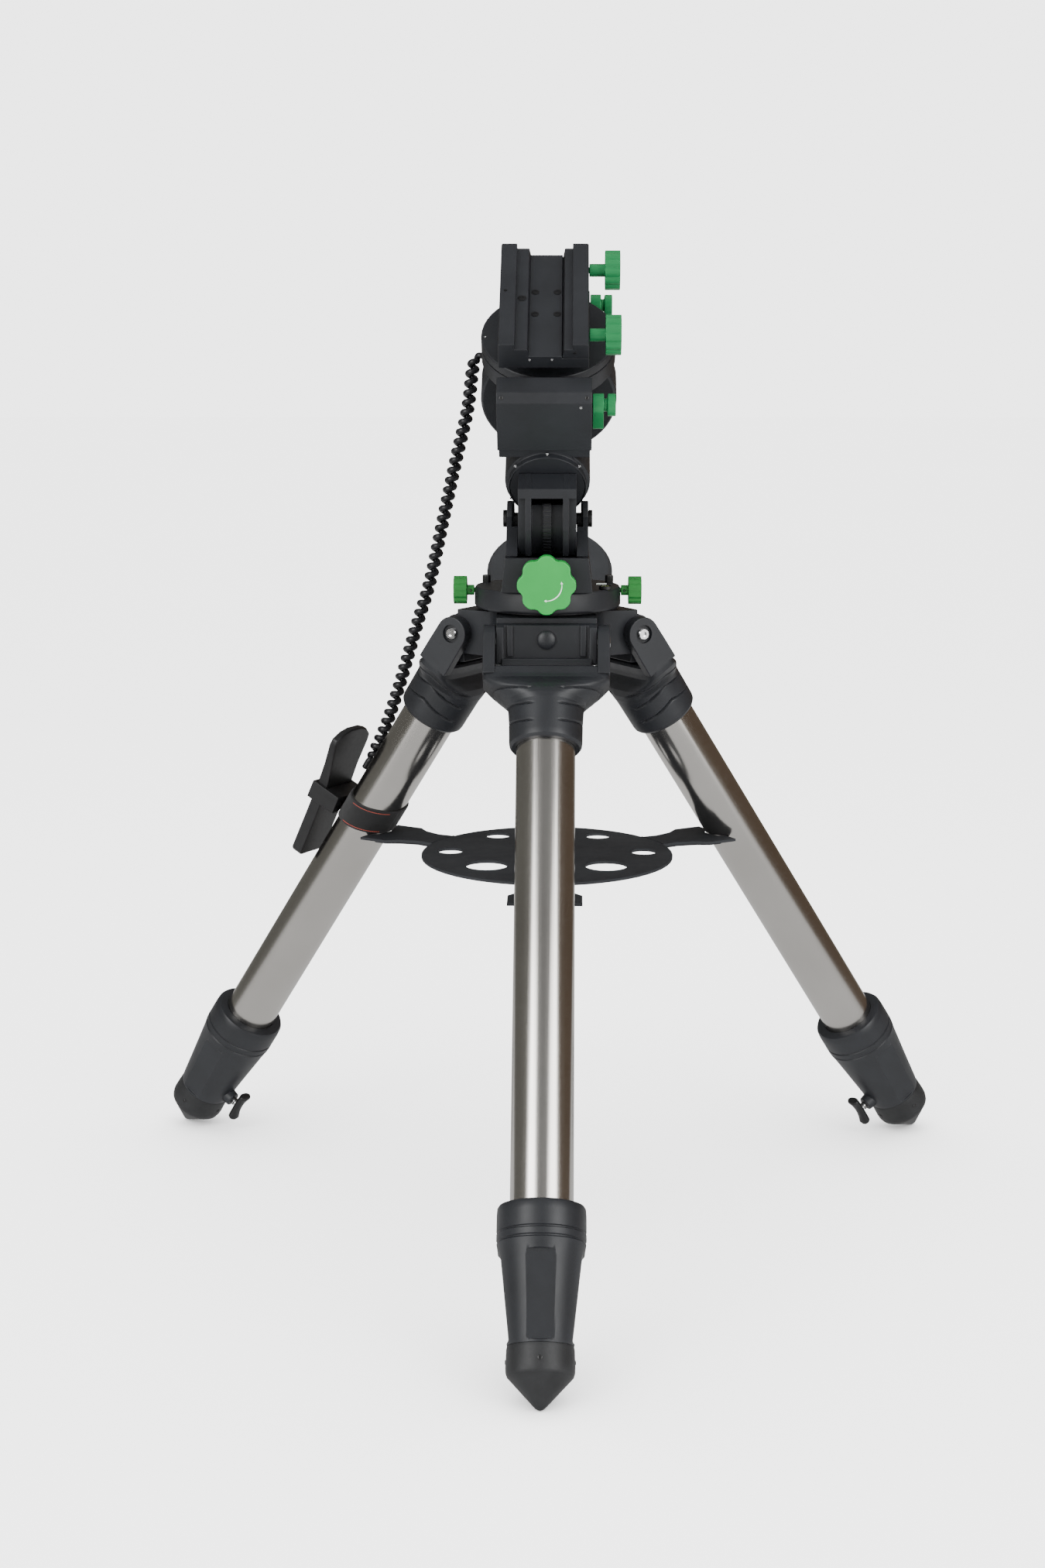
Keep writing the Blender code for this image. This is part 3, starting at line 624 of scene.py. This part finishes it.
def shoe_mesh():
    """The lower casting: a grooved collar, three sunk panels and the screw's boss."""
    profile = [(0.0384, -0.7480), (0.0478, -0.7480), (0.0508, -0.7492), (0.0528, -0.7525),
               (0.0534, -0.7600), (0.0535, -0.7795), (0.0521, -0.7806), (0.0521, -0.7818),
               (0.0535, -0.7830), (0.0535, -0.7900), (0.0520, -0.7912), (0.0520, -0.7925),
               (0.0532, -0.7940), (0.0518, -0.8020), (0.0502, -0.8150), (0.0470, -0.8440),
               (0.0436, -0.8750), (0.0404, -0.9060), (0.0392, -0.9120), (0.0322, -0.9120),
               (0.0322, -0.8006), (0.0384, -0.8006)]
    bm = lathe(profile, 96)
    for angle in (0, 90, 270):
        panel = block((-0.0200, 0.0200), (-0.0620, -0.0442), (-0.9050, -0.8010), 0.0030)
        slope = Matrix.Translation((0, 0, -0.84)) @ Matrix.Rotation(radians(6.3), 4, "X") @ \
            Matrix.Translation((0, 0, 0.84))
        bm = combined(bm, moved(panel, Matrix.Rotation(radians(angle), 4, "Z") @ slope), "DIFFERENCE")
    boss = moved(lathe([(0, 0.0345), (0.0125, 0.0345), (0.0110, 0.0510), (0.0098, 0.0522),
                        (0.0044, 0.0522), (0.0044, 0.0480), (0, 0.0480)], 40),
                 Matrix.Translation((0, 0, CLAMP_SCREW_Z)) @ ALONG_Y)
    return combined(bm, boss, "UNION")


def handle_mesh():
    """A bowed bar on the clamp screw, in line with the leg, thicker towards its ends."""
    sections = []
    for i in range(17):
        share = i / 8 - 1
        end = 0.72 if abs(share) == 1 else 1
        bow = 0.0642 + 0.0030 * share * share
        thick = (0.0056 + 0.0018 * share * share) * end
        wide = (0.0084 + 0.0030 * share * share) * end
        turns = [2 * pi * k / 20 for k in range(20)]
        sections.append([(wide * cos(a), bow + thick * sin(a), 0.0235 * share) for a in turns])
    return moved(loft(sections), Matrix.Translation((0, 0, CLAMP_SCREW_Z)))


def legs():
    clamp, shoe, handle = clamp_mesh(), shoe_mesh(), handle_mesh()
    cone = [(0, -0.9115), (0.0375, -0.9115), (0.0392, -0.9125), (0.0399, -0.9160), (0.0407, -0.9360),
            (0.0404, -0.9420), (0.0390, -0.9470), (0.0060, -0.9818), (0.0030, -0.9836), (0, -0.9843)]
    bolt = [(0, -0.0785), (0.0068, -0.0785), (0.0068, 0.0785), (0, 0.0785)]
    for side, at in LEGS.items():
        leg, foot = f"leg_{side}", f"foot_{side}"
        casting = piece(f"clamp_casting_{side}", clamp.copy(), PAINT, leg, at)
        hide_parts(f"leg_clamp_{side}")
        tube = [(TUBE_BORE, -0.800), (TUBE_R, -0.800), (TUBE_R, -0.086), (TUBE_BORE, -0.086)]
        upper = piece(f"upper_tube_{side}", lathe(tube, 128), TUBE, leg, at)
        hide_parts(f"leg_tube_{side}")
        casting = piece(f"shoe_casting_{side}", shoe.copy(), PAINT, leg, at)
        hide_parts(f"leg_shoe_{side}")
        inner = [(INNER_BORE, -0.913), (INNER_R, -0.913), (INNER_R, -0.500), (INNER_BORE, -0.500)]
        piece(f"lower_tube_{side}", lathe(inner, 96), TUBE, foot, at)
        tip = piece(f"foot_cone_{side}", lathe(cone, 96), FOOT, foot, at)
        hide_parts(f"leg_extension_{side}")
        for k, (x, y) in enumerate(((-1, 0), (1, 0), (0, -1), (0, 1))):
            spot = facing((x * 0.0402, y * 0.0402, FOOT_SCREW_Z), (x, y, 0), at)
            screw(f"foot_screw_{side}_{k + 1}", spot, foot, 0.0026, 0.0010, DARK_STEEL)
        stem = piece(f"clamp_screw_stem_{side}",
                     moved(lathe([(0, 0.0322), (0.0038, 0.0322), (0.0038, 0.0528), (0.0056, 0.0532),
                                  (0.0062, 0.0568), (0.0048, 0.0576), (0.0040, 0.0620), (0, 0.0620)], 32),
                           Matrix.Translation((0, 0, CLAMP_SCREW_Z)) @ ALONG_Y),
                     CHROME, f"leg_lock_{side}", at)
        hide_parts(f"leg_clamp_screw_{side}")
        piece(f"clamp_handle_{side}", handle.copy(), PLASTIC, f"leg_lock_{side}",
              at, 60)
        rod = piece(f"pivot_bolt_{side}", moved(lathe(bolt, 40), ALONG_X), STEEL, "stand",
                    at)
        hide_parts(f"leg_pivot_bolt_{side}")
        for k in (-1, 1):
            screw(f"pivot_head_{side}_{k + 2}", facing((k * 0.0785, 0, 0), (k, 0, 0), at), "stand",
                  0.0080, 0.0052, CHROME)
    for bm in (clamp, shoe, handle):
        bm.free()


def hub():
    """The tripod's head. Each lug has a rounded top and heel, and a sunk pocket with a boss."""
    bm = cad_copy("tripod_hub", STAND)
    hinge = STAND.inverted() @ Vector(JOINTS["leg_fold_front"]["pos_m"])
    corner = arc((hinge.y, hinge.z), LUG_R, 90, 180, 20)
    corner += [(hinge.y - 0.060, hinge.z), (hinge.y - 0.060, hinge.z + 0.060), (hinge.y, hinge.z + 0.060)]
    for turn in (0, 120, 240):
        about = Matrix.Rotation(radians(turn), 4, "Z")
        bm = combined(bm, moved(prism(corner, -0.090, 0.090), about @ SIDE_ON), "DIFFERENCE")
    heel = [(hinge.y, hinge.z)] + arc((hinge.y, hinge.z), HEEL_R, -126, -80, 16)
    for turn in (0, 120, 240):
        about = Matrix.Rotation(radians(turn), 4, "Z")
        bm = combined(bm, moved(prism(heel, -0.0590, 0.0590), about @ SIDE_ON), "UNION")
        about = Matrix.Rotation(radians(turn), 4, "Z")
        pocket = block((-0.0560, 0.0560), (-0.1300, -0.1120), (0.7925, 0.8600))
        bm = combined(bm, moved(pocket, about), "DIFFERENCE")
    soften(bm, 0.0012, 2, 40)
    body = piece("tripod_hub_finished", bm, PAINT, "stand", STAND)
    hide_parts("tripod_hub")
    for side, turn in zip(SIDES, (0, 120, 240)):
        at = STAND @ Matrix.Rotation(radians(turn), 4, "Z")
        boss = [(0, -0.002), (0.0125, -0.002), (0.0122, 0.0022), (0.0100, 0.0044),
                (0.0050, 0.0056), (0, 0.006)]
        piece(f"hub_boss_{side}", lathe(boss, 40), PAINT, "stand",
              facing((0, -0.1120, 0.8180), (0, -1, 0), at))
        for k in (-1, 1):
            tab = block((k * 0.048 - 0.0042, k * 0.048 + 0.0042), (-0.1150, -0.1100), (0.7960, 0.8380),
                        0.0016, 3)
            piece(f"hub_tab_{side}_{k + 2}", tab, PAINT, "stand", at)
        lip = block((-0.0600, 0.0600), (-0.1185, -0.1120), (0.7885, 0.7945), 0.0022, 3)
        piece(f"hub_lip_{side}", lip, PAINT, "stand", at)


def tray():
    refined("accessory_tray", STAND, TRAY_PAINT, 0.0007, 2, 50)
    for side, turn in zip(SIDES, (0, 120, 240)):
        at = STAND @ Matrix.Rotation(radians(turn), 4, "Z")
        outline = [(-0.026, -0.165), (0.026, -0.165), (0.023, -0.200), (0.030, -0.226), (0.040, -0.244),
                   (0.040, -0.262), (0.0330, -0.268), (-0.0330, -0.268), (-0.040, -0.262),
                   (-0.040, -0.244), (-0.030, -0.226), (-0.023, -0.200)]
        layer = soften(prism(outline, TRAY_Z - 0.0072, TRAY_Z - 0.0038), 0.0006)
        piece(f"tray_arm_layer_{side}", layer, TRAY_PAINT, "tray", at)
    refined("tray_nut", STAND, PLASTIC, 0.0010)
    refined("center_bolt", STAND, STEEL, 0.0005)


# Base, yoke and altitude drive ---------------------------------------------------------

KNOB_Z = 0.8715           # the azimuth knobs' axis
TEETH_ROUND = 88          # teeth that a whole altitude wheel would have
TEETH_SHOWN = 34
FIRST_TOOTH = 159.5       # degrees about the pivot

def base():
    refined("azimuth_base", STAND, PAINT, 0.0007)
    refined("azimuth_yoke", STAND, PAINT, 0.0009)
    refined("altitude_axle", STAND, DARK_STEEL, 0.0006)
    refined("altitude_worm", STAND, STEEL, 0.0)
    for side in (-1, 1):
        at = STAND @ Matrix.Translation((side * 0.0840, 0.0380, BASE_TOP))
        cap = knurled(0.0056, 0.0100)
        piece(f"base_cap_screw_{side + 2}", cap, DARK_STEEL, "stand", at)
    pointer = block((0.0660, 0.0800), (0.0095, 0.0145), (BASE_TOP, BASE_TOP + 0.0012), 0.0003)
    piece("azimuth_pointer", pointer, WHITE_INK, "stand", STAND)
    level()
    for side, name in ((-1, "azimuth_knob_left"), (1, "azimuth_knob_right")):
        refined(name, STAND @ Matrix.Translation((0, 0, KNOB_Z)) @ ALONG_X, GREEN,
                0.0007)
        hole = facing((side * 0.1035, -0.0066, KNOB_Z), (0, -1, 0), STAND)
        screw(f"{name}_set_screw", hole, f"azimuth_screw_{'left' if side < 0 else 'right'}",
              0.0019, 0.0006, DARK_STEEL)
        arm = facing((side * 0.0520, -0.0242, PIVOT_Z - 0.002), (0, -1, 0), STAND)
        screw(f"yoke_screw_{side + 2}", arm, "yoke", 0.0021, 0.0010)


def knurled(radius, height, ribs=20):
    """A cap screw's head with a knurled side."""
    steps = ribs * 4
    sections = []
    for z, share in ((0, 1), (height * 0.86, 1), (height, 0.9)):
        ring = []
        for k in range(steps):
            a = 2 * pi * k / steps
            reach = (radius - 0.0003 * (k % 4 > 1)) * share
            ring.append((reach * cos(a), reach * sin(a), z))
        sections.append(ring)
    corners = [(0.55 * radius * cos(pi * k / 3), 0.55 * radius * sin(pi * k / 3)) for k in range(6)]
    socket = prism(corners, height * 0.45, height * 1.2)
    return combined(loft(sections), socket, "DIFFERENCE")


def level():
    """A round level: a black ring, yellow-green fluid and a printed ring."""
    low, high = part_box("bubble_level")
    middle = (low + high) / 2
    at = Matrix.Translation((middle.x, middle.y, low.z))
    ring = [(0.0070, 0), (0.0090, 0), (0.0090, 0.0036), (0.0084, 0.0042), (0.0074, 0.0042),
            (0.0070, 0.0036)]
    body = piece("level_ring", lathe(ring, 48), PLASTIC, "stand", at)
    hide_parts("bubble_level")
    lens = [(0, 0.0003), (0.0069, 0.0003), (0.0069, 0.0032), (0.0045, 0.0037), (0, 0.0039)]
    piece("level_fluid", lathe(lens, 48), GLASS, "stand", at)
    mark = [(0.0028, 0.0036), (0.0031, 0.0036), (0.0031, 0.0040), (0.0028, 0.0040)]
    piece("level_mark", lathe(mark, 40), DARK, "stand", at)


def altitude_drive():
    casting = refined("altitude_block", STAND, PAINT, 0.0006, 2, 50)
    casting.name = "altitude_casting"
    teeth = bmesh.new()
    for i in range(TEETH_SHOWN):
        a = FIRST_TOOTH + i * 360 / TEETH_ROUND
        tooth = block((-0.0056, 0.0056), (-0.0008, 0.0008), (-0.0004, 0.0010))
        lean = Matrix.Rotation(radians(a), 4, "X") @ Matrix.Translation((0, 0.0655, 0)) @ \
            Matrix.Rotation(radians(-90), 4, "X")
        about = Matrix.Translation((0, 0, PIVOT_Z)) @ lean
        add_to(teeth, moved(tooth, about))
    piece("altitude_teeth", teeth, DARK_STEEL, "polar_head", STAND)
    knob_at = STAND @ Matrix.Translation((0, -0.1120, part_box("altitude_knob")[0].z + 0.0385)) @ \
        Matrix.Rotation(radians(90), 4, "X")
    refined("altitude_knob", knob_at, BRIGHT_GREEN, 0.0016, 3)
    piece("altitude_arrow", arrow(), WHITE_INK, "altitude_drive",
          knob_at @ Matrix.Translation((0, 0, 0.0235)))


def add_to(bm, other):
    """Adds another body's faces to a mesh."""
    mesh = bpy.data.meshes.new("part")
    other.to_mesh(mesh)
    other.free()
    bm.from_mesh(mesh)
    bpy.data.meshes.remove(mesh)


def arrow():
    """A printed arc with a head at each end, on the knob's face."""
    radius, start, end, steps = 0.0200, -90, 6, 24
    outer, inner = [], []
    for i in range(steps + 1):
        share = i / steps
        a = radians(start + (end - start) * share)
        half = 0.00035 + 0.00035 * sin(pi * share)
        outer.append(((radius + half) * cos(a), (radius + half) * sin(a)))
        inner.append(((radius - half) * cos(a), (radius - half) * sin(a)))
    bm = prism(outer + inner[::-1], -0.0001, 0.00025)
    for a, way in ((start, -1), (end, 1)):
        tip = radians(a + way * 9)
        foot = radians(a)
        head = [(radius * cos(tip), radius * sin(tip)),
                ((radius + 0.0017) * cos(foot), (radius + 0.0017) * sin(foot)),
                ((radius - 0.0017) * cos(foot), (radius - 0.0017) * sin(foot))]
        add_to(bm, prism(head, -0.0001, 0.00025))
    return bm


# Polar head ----------------------------------------------------------------------------

def polar_head():
    refined("polar_housing", POLAR, PAINT, 0.0008)
    refined("polar_cap", POLAR, PAINT, 0.0006)
    refined("polar_motor_cover", POLAR, PAINT, 0.0010)
    hidden = (("motor", DARK_STEEL, "dark_steel"), ("shaft", STEEL, "bright_steel"),
              ("worm_wheel", BRASS, "gear_brass"))
    for name, material, slot in hidden:
        for drive in ("polar", "dec"):
            refined(f"{drive}_{name}", POLAR, material, 0.0004)
    for x in (-0.0590, 0.0515):
        screw(f"cover_screw_{1 if x < 0 else 2}", facing((x, -0.1712, 0.1422), (0, -1, 1), POLAR),
              "polar_head", 0.0024, 0.0008, DARK_STEEL)
    screw("cover_front_screw", facing((0.0435, -0.1760, 0.1300), (0, -1, 0), POLAR), "polar_head",
          0.0020, 0.0008)
    for k, angle in enumerate((90, 38, 142, 205)):
        a = radians(angle)
        spot = (0.0535 * cos(a), -0.1780, 0.0535 * sin(a))
        screw(f"polar_ring_screw_{k + 1}", facing(spot, (0, -1, 0), POLAR), "polar_head",
              0.0021, 0.0012)
    for name in ("axis_housing", "dec_motor_cover", "dec_disc", "saddle_plate"):
        refined(name, POLAR, PAINT, 0.0009)
    refined("saddle_jaw", POLAR, PAINT, 0.0009)
    refined("handset_socket", POLAR, PLASTIC, 0.0008)
    for name in ("polar_clutch", "dec_clutch"):
        refined(name, POLAR, TEAL, 0.0010)
    for name, y in (("saddle_knob_near", -0.072), ("saddle_knob_far", 0.066)):
        at = POLAR @ Matrix.Translation((0, y, 0.165)) @ ALONG_X
        refined(name, at, TEAL, 0.0007)


def saddle_details():
    def on_saddle(name, x, y, z, radius, material=DARK_STEEL, way=(0, 0, 1)):
        screw(name, facing((x, y, z), way, POLAR), "dec_head", radius, 0.0007, material)
    floor, step, top = 0.1600, 0.1710, 0.1790
    # The floor and step screw heads are near-black, darker than any steel here: painted shade of the
    # recesses they sit in.
    for i, y in enumerate((-0.022, 0.025)):
        on_saddle(f"saddle_floor_screw_left_{i + 1}", -0.0172, y, floor, 0.0052, DARK)
        on_saddle(f"saddle_floor_screw_right_{i + 1}", 0.0122, y, floor, 0.0052, DARK)
    on_saddle("saddle_step_screw", -0.0345, -0.0025, step, 0.0058, DARK)
    on_saddle("saddle_edge_screw", -0.0560, 0.0040, top, 0.0022)
    on_saddle("saddle_end_screw_left", -0.0230, -0.1100, 0.1545, 0.0017, STEEL, (0, -1, 0))
    on_saddle("saddle_end_screw_right", 0.0060, -0.1100, 0.1545, 0.0017, STEEL, (0, -1, 0))
    on_saddle("disc_screw_left", -0.0845, -0.0050, 0.1090, 0.0019, STEEL)
    screw("jaw_end_screw", facing((0.0357, -0.1100, 0.1660), (0, -1, 0), POLAR), "jaw", 0.0018, 0.0006,
          DARK_STEEL)


def counterweight():
    at = POLAR
    refined("counterweight", at, WEIGHT_PAINT, 0.0012)
    refined("counterweight_shaft", at, TUBE, 0.0006)
    refined("shaft_end_cap", at, PLASTIC, 0.0006)
    refined("weight_lock_screw", at, PLASTIC, 0.0006)


# Handset, cradle and strap -------------------------------------------------------------

def handset():
    at = LEGS["left"] @ Matrix.Translation((0, -0.0640, -0.3580)) @ Matrix.Rotation(pi, 4, "Z") @ \
        Matrix.Rotation(radians(-8), 4, "X")
    refined("handset", at, PLASTIC, 0.0022, 3)
    refined("handset_cradle", at, PLASTIC, 0.0009)
    front = 0.0180
    screen = block((-0.0220, 0.0220), (front - 0.001, front + 0.0006), (0.0480, 0.0780), 0.0005)
    piece("handset_screen", screen, SCREEN, "leg_left", at)
    for row in range(6):
        for column in range(3):
            x, z = (column - 1) * 0.0160, 0.0330 - row * 0.0185
            if -0.0300 < z < 0.0210:
                continue
            key = block((x - 0.0052, x + 0.0052), (front - 0.001, front + 0.0014),
                        (z - 0.0038, z + 0.0038), 0.0010, 3)
            piece(f"handset_key_{row + 1}_{column + 1}", key, KEY_RUBBER, "leg_left", at)


def strap():
    """A sewn webbing band round the tube, set a little askew."""
    outer, inner = 0.0411, 0.0384
    def shear(x, y):
        return 0.28 * y - 0.13 * x
    profile = [(inner, -0.3550), (outer - 0.0006, -0.3550), (outer, -0.3544), (outer, -0.3156),
               (outer - 0.0006, -0.3150), (inner, -0.3150)]
    bm = lathe(profile, 96)
    for corner in bm.verts:
        corner.co.z += shear(corner.co.x, corner.co.y)
    band = piece("strap_band", bm, WEBBING, "leg_left", LEGS["left"])
    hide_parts("leg_strap")
    stitches = bmesh.new()
    low, high, start, end = -0.3515, -0.3185, -22, 60
    path = [(start, z) for z in steps_between(low, high, 9)] + \
        [(a, high) for a in steps_between(start, end, 20)] + \
        [(end, z) for z in steps_between(high, low, 9)] + [(a, low) for a in steps_between(end, start, 20)]
    for (a, z), (b, w) in zip(path, path[1:] + path[:1]):
        ends = []
        for angle, height in ((a, z), (b, w)):
            x, y = outer * cos(radians(angle)), outer * sin(radians(angle))
            ends.append(Vector((x, y, height + shear(x, y))))
        run = ends[1] - ends[0]
        if run.length < 0.0005:
            continue
        line = [ends[0] + run * 0.14, ends[0] + run * 0.5, ends[0] + run * 0.86]
        add_to(stitches, pipe(line, 0.00042, 6))
    piece("strap_stitching", stitches, THREAD, "leg_left", LEGS["left"])


def steps_between(start, end, count):
    return [start + (end - start) * i / count for i in range(count)]


# Studio --------------------------------------------------------------------------------

def reflected(name, bm, brightness, tint=(1, 1, 1)):
    """A glowing screen that only shows in reflections."""
    mesh = bpy.data.meshes.new(name)
    bm.to_mesh(mesh)
    bm.free()
    material = bpy.data.materials.new(name)
    material.use_nodes = True
    tree = material.node_tree
    tree.nodes.clear()
    glow = tree.nodes.new("ShaderNodeEmission")
    glow.inputs["Color"].default_value = (*tint, 1)
    glow.inputs["Strength"].default_value = brightness
    tree.links.new(glow.outputs["Emission"], tree.nodes.new("ShaderNodeOutputMaterial").inputs["Surface"])
    mesh.materials.append(material)
    obj = bpy.data.objects.new(name, mesh)
    bpy.context.scene.collection.objects.link(obj)
    obj.visible_camera = False
    obj.visible_diffuse = False
    obj.visible_shadow = False


def card(name, start, end, brightness, tint=(1, 1, 1), radius=4.5, low=-0.2, high=4.5):
    """A curved screen about the object, between two angles from its front."""
    steps = 16
    bm = bmesh.new()
    rows = []
    for z in (low, high):
        turns = [radians(start + (end - start) * i / steps) for i in range(steps + 1)]
        rows.append([bm.verts.new((radius * sin(a), -radius * cos(a), z)) for a in turns])
    for i in range(steps):
        bm.faces.new((rows[0][i], rows[0][i + 1], rows[1][i + 1], rows[1][i]))
    reflected(name, bm, brightness, tint)


def disc(name, z, brightness, radius=4.6):
    """A level screen above or below the object."""
    bm = bmesh.new()
    bmesh.ops.create_circle(bm, cap_ends=True, segments=64, radius=radius,
                            matrix=Matrix.Translation((0, 0, z)))
    reflected(name, bm, brightness)


def area_light(name, place, target, size, power):
    data = bpy.data.lights.new(name, "AREA")
    data.shape = "RECTANGLE"
    data.size, data.size_y = size
    data.energy = power
    obj = bpy.data.objects.new(name, data)
    bpy.context.scene.collection.objects.link(obj)
    obj.location = place
    obj.rotation_euler = (Vector(target) - Vector(place)).to_track_quat("-Z", "Y").to_euler()
    return obj


def studio():
    floor = bpy.data.meshes.new("floor")
    bm = bmesh.new()
    bmesh.ops.create_grid(bm, x_segments=4, y_segments=4, size=30)
    bm.to_mesh(floor)
    bm.free()
    paper = Finish("pale_floor", (0.97, 0.97, 0.97), 0.85, Specular_IOR_Level=0.0)
    paper.colours(paper.noise(0.5), (0.965, 0.965, 0.965), (0.975, 0.975, 0.975))
    floor.materials.append(paper.material)
    ground = bpy.data.objects.new("floor", floor)
    bpy.context.scene.collection.objects.link(ground)
    ground.visible_glossy = False
    world = bpy.data.worlds.new("studio")
    bpy.context.scene.world = world
    world.use_nodes = True
    world.node_tree.nodes["Background"].inputs["Color"].default_value = (1, 1, 1, 1)
    world.node_tree.nodes["Background"].inputs["Strength"].default_value = 3.6
    card("card_camera_side", -22, 24, 0.30)
    card("card_left", -180, -62, 0.17, (1, 0.98, 0.90))
    card("card_right", 64, 180, 0.14, (1, 0.74, 0.54))
    disc("card_above", 4.5, 0.30)
    disc("card_below", -0.19, 0.80)
    area_light("key_left", (-2.6, -2.6, 2.8), (0, 0.1, 0.8), (1.6, 2.2), 60)
    area_light("key_right", (2.4, -2.2, 2.4), (0, 0.1, 0.8), (1.6, 2.2), 45)
    top = area_light("top", (0, 0.2, 3.6), (0, 0.1, 0.8), (2.5, 2.5), 50)
    top.visible_glossy = False


camera()
curly_cord()
legs()
hub()
tray()
base()
altitude_drive()
polar_head()
saddle_details()
counterweight()
handset()
strap()
studio()
